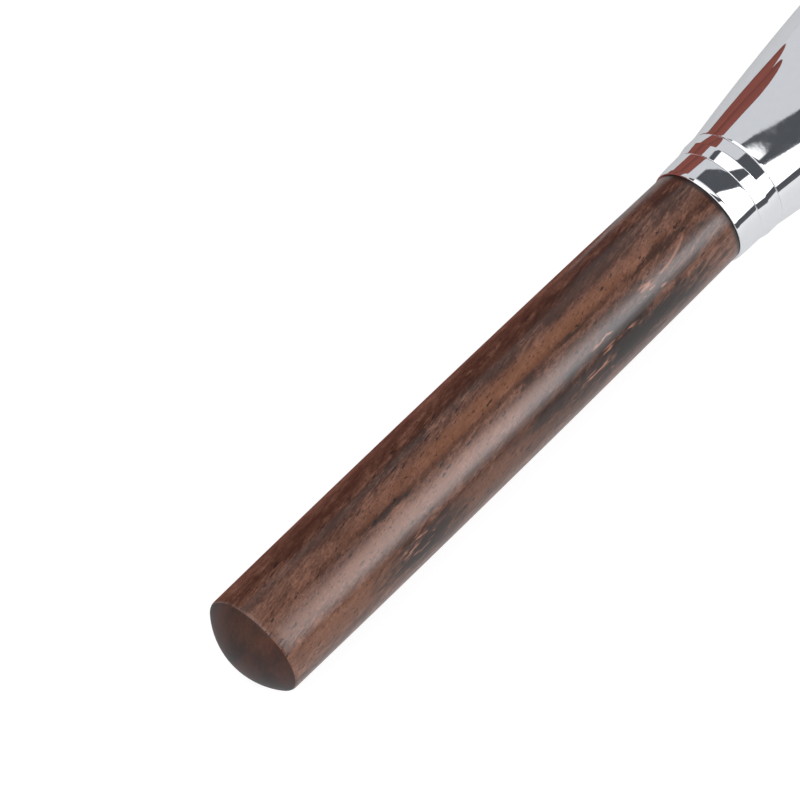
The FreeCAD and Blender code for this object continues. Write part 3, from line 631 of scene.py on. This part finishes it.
def build_world():
    """White to the camera. To everything else a studio that runs along the pen: a
    softbox with a brighter core on the near side, a dark ceiling with a lit hatch, pale
    walls, a wall behind the butt that is bright only high up, a dark end ahead of the
    nib and a dark line at the horizon on the near side."""
    world = bpy.data.worlds.new("studio")
    bpy.context.scene.world = world
    g = Graph(world)
    direction = g.node("TexCoord").outputs["Generated"]
    along, aside, up = g.node("SeparateXYZ", {0: direction}).outputs[:3]
    lean = g.math("MULTIPLY", g.math("ARCTAN2", aside, up), DEGREES)

    past_near, past_far = (g.step(g.math("SUBTRACT", lean, edge_curve(g, along, column)),
                                  -CEILING_BLUR, CEILING_BLUR) for column in (1, 2))
    core_along = g.math("MULTIPLY", g.step(along, *CORE_REAR), g.step(along, *CORE_FRONT))
    core_lean = g.math("MULTIPLY", g.step(lean, *CORE_TOP), g.step(lean, *CORE_FOOT))
    core = g.math("MULTIPLY", core_along, core_lean)
    color = g.mix(past_near, g.mix(core, SOFTBOX, SOFTBOX_CORE), DARK)
    color = g.mix(past_far, color, PALE)
    slanted = g.math("MULTIPLY_ADD", along, HATCH_SLANT, lean)
    hatch_lean = g.math("MULTIPLY", g.step(slanted, *HATCH_NEAR), g.step(lean, *HATCH_FAR))
    hatch = g.math("MULTIPLY", g.step(along, *HATCH_END), hatch_lean)
    color = g.mix(hatch, color, HATCH)
    end_wall = g.mix(g.step(up, *END_WALL_BRIGHT), END_WALL, END_WALL_TOP)
    color = g.mix(g.step(along, *END_WALL_START), color, end_wall)
    color = g.mix(g.step(along, *DARK_END), color, DARK)
    color = g.mix(g.step(lean, *HORIZON), color, DARK)

    camera = g.node("LightPath").outputs["Is Camera Ray"]
    color = g.mix(camera, color, WHITE)
    background = g.node("Background", {"Color": color})
    g.node("OutputWorld", {"Surface": background.outputs[0]})


# the floor's colour and its glow: in the middle, on the far side as painted shade, on the near side
# as painted light, to the camera, and in front of its near part, painted dark for reflections
FLOOR_SIZE = 6
FLOOR_TONE, FLOOR_TONE_PAINTED_DARK = (0.30, 0.30, 0.30), (0.05, 0.05, 0.05)
GLOW_MIDDLE, GLOW_FAR_SHADED = (0.50, 0.505, 0.515), (0.34, 0.345, 0.355)
GLOW_NEAR_LIT, GLOW_TO_CAMERA = (0.60, 0.605, 0.615), (0.84, 0.84, 0.84)
GLOW_PAINTED_DARK = (0.05, 0.05, 0.06)
# where each begins and where it shows fully, in metres towards +Y
FAR_SIDE, NEAR_SIDE, PAINTED_DARK_FRONT = (-0.01, 0.01), (-0.012, -0.06), (-0.10, -0.12)


def build_floor():
    """A pale floor that keeps a faint shadow. Its glow is painted for reflections, as the
    photograph's chrome shows it: darker on the far side as painted shade, paler on the near
    side as painted light, and dark in front as a painted dark reflection, though the floor goes on."""
    bpy.ops.mesh.primitive_plane_add(size=FLOOR_SIZE)
    floor = bpy.context.object
    floor.name = "floor"
    made, g = material("floor")
    aside = g.node("SeparateXYZ", {0: g.node("TexCoord").outputs["Object"]}).outputs[1]
    camera = g.node("LightPath").outputs["Is Camera Ray"]
    # painted dark reflection: in front of the pen the floor looks dark to all rays but the camera's
    painted_dark = g.math("MULTIPLY", g.step(aside, *PAINTED_DARK_FRONT), g.math("SUBTRACT", 1.0, camera))
    lit = g.node("BsdfDiffuse", {"Color": g.mix(painted_dark, FLOOR_TONE, FLOOR_TONE_PAINTED_DARK)})
    # painted shade on the far side and painted light on the near side, for all rays but the camera's
    glow_color = g.mix(g.step(aside, *FAR_SIDE), GLOW_MIDDLE, GLOW_FAR_SHADED)
    glow_color = g.mix(g.step(aside, *NEAR_SIDE), glow_color, GLOW_NEAR_LIT)
    glow_color = g.mix(camera, glow_color, GLOW_TO_CAMERA)
    glow_color = g.mix(painted_dark, glow_color, GLOW_PAINTED_DARK)
    glow = g.node("Emission", {"Color": glow_color})
    both = g.node("AddShader", {0: lit.outputs[0], 1: glow.outputs[0]})
    g.node("OutputMaterial", {"Surface": both.outputs[0]})
    floor.data.materials.append(made)


# Glowing things that only reflections show: painted reflections. Place along the pen and
# height of each rod's rounded front end, and its radius, in millimetres.
RODS = {"lower_rod": (9.1, 17.9, 4.8), "upper_rod": (6.3, 27.3, 5.7)}
# how far behind the pen they stand, their length, the degrees by which they rise towards
# the nib, and the length of the rounded end as a share of the radius
ROD_ASIDE, ROD_LENGTH, ROD_RISE, CAP_SHARE = 31.0, 22.0, 31.0, 0.15
ROD_SEGMENTS = 48
# a folded board of the same glow behind the handle, a painted reflection that darkens what the
# wood's upper side mirrors: X from, to, its height, where its foot begins and how far that is off the floor
BOARD = (-73.0, -15.0, 34.0, 8.0, 0.3)
RED_BROWN, RED_STREAK = (0.27, 0.085, 0.068), (0.22, 0.072, 0.058)
RED_SHADE = (0.11, 0.038, 0.032)
# streaks per metre along and across, and the Z of the normal where a face takes painted shade
# and where it is painted lit
RED_GRAIN, RED_LIT = (60, 900, 900), (-0.78, 0.05)


def build_mirrored_things():
    """On the far side, where only reflections show them, two glowing red-brown rods that rise
    towards the nib, as the photograph's chrome mirrors such a pair, with painted shade on their
    lower faces, and a glowing board that darkens what the upper side of the wood reflects.
    All of them are painted reflections."""
    made, g = material("mirrored_rod")
    point = g.node("TexCoord").outputs["Object"]
    streaky = g.noise(g.scaled(point, RED_GRAIN), scale=1.0, detail=3)
    facing = g.node("SeparateXYZ", {0: g.node("NewGeometry").outputs["Normal"]}).outputs[2]
    # painted shade: the rods' glow is darker on faces that point down, painted light on those that point up
    tint = g.mix(g.step(facing, *RED_LIT), RED_SHADE, RED_BROWN)
    tint = g.mix(g.step(streaky, 0.35, 0.65), tint, RED_STREAK)
    glow = g.node("Emission", {"Color": tint})
    g.node("OutputMaterial", {"Surface": glow.outputs[0]})

    left, right, high, foot, lift = BOARD
    fold = ((foot, lift), (ROD_ASIDE, lift), (ROD_ASIDE, high))
    corners = [(x * MM, y * MM, z * MM) for y, z in fold for x in (left, right)]
    mesh = bpy.data.meshes.new("board")
    mesh.from_pydata(corners, [], [(0, 1, 3, 2), (2, 3, 5, 4)])
    board = bpy.data.objects.new("board", mesh)
    bpy.context.collection.objects.link(board)
    things = [board]

    for name, (front, height, radius) in RODS.items():
        bpy.ops.mesh.primitive_uv_sphere_add(segments=ROD_SEGMENTS, ring_count=ROD_SEGMENTS,
                                             radius=radius * MM)
        rod = bpy.context.object
        rod.name = name
        for vertex in rod.data.vertices:
            if vertex.co.x < 0:
                vertex.co.x -= ROD_LENGTH * MM
            else:
                vertex.co.x *= CAP_SHARE
        rod.data.shade_smooth()
        rod.rotation_euler.y = math.radians(-ROD_RISE)
        rod.location = Vector((front, ROD_ASIDE, height)) * MM
        things.append(rod)

    for thing in things:
        thing.data.materials.append(made)
        thing.visible_camera = thing.visible_diffuse = thing.visible_shadow = False
        thing.visible_transmission = thing.visible_volume_scatter = False


# the pen's direction in the photograph: how much of it goes to the picture's right and
# up, and away from the camera
TO_RIGHT, TO_TOP, AWAY = 0.66834, 0.63589, 0.38596
# the middle of the butt's rim as the camera sees it, in millimetres
RIM_STATION = 2.05
RIM_RIGHT, RIM_BELOW, RIM_AWAY = -12.69, 21.25, 429.18
LENS, SENSOR = 224.4, 36
CLIP_START, CLIP_END = 0.01, 20


def build_camera():
    """The photograph's view: its direction follows from how the pen lies in it, and
    its place from where the rim of the butt is."""
    data = bpy.data.cameras.new("camera")
    data.lens, data.sensor_width = LENS, SENSOR
    data.clip_start, data.clip_end = CLIP_START, CLIP_END
    camera = bpy.data.objects.new("camera", data)
    bpy.context.scene.collection.objects.link(camera)
    bpy.context.scene.camera = camera
    turn = math.asin(TO_RIGHT / pen_axis.x)
    tilt = math.atan2(TO_TOP, AWAY) - math.atan2(pen_axis.z, math.cos(turn) * pen_axis.x)
    forward = Vector((math.cos(tilt) * math.cos(turn), math.cos(tilt) * math.sin(turn),
                      -math.sin(tilt)))
    right = Vector((math.sin(turn), -math.cos(turn), 0))
    up = right.cross(forward)
    rim = PEN @ Vector((RIM_STATION * MM, 0, 0))
    place = rim - (right * RIM_RIGHT - up * RIM_BELOW + forward * RIM_AWAY) * MM
    camera.matrix_world = Matrix((right, up, -forward)).transposed().to_4x4()
    camera.location = place


build_world()
build_floor()
build_mirrored_things()
build_camera()
bpy.context.scene.view_settings.view_transform = "Standard"
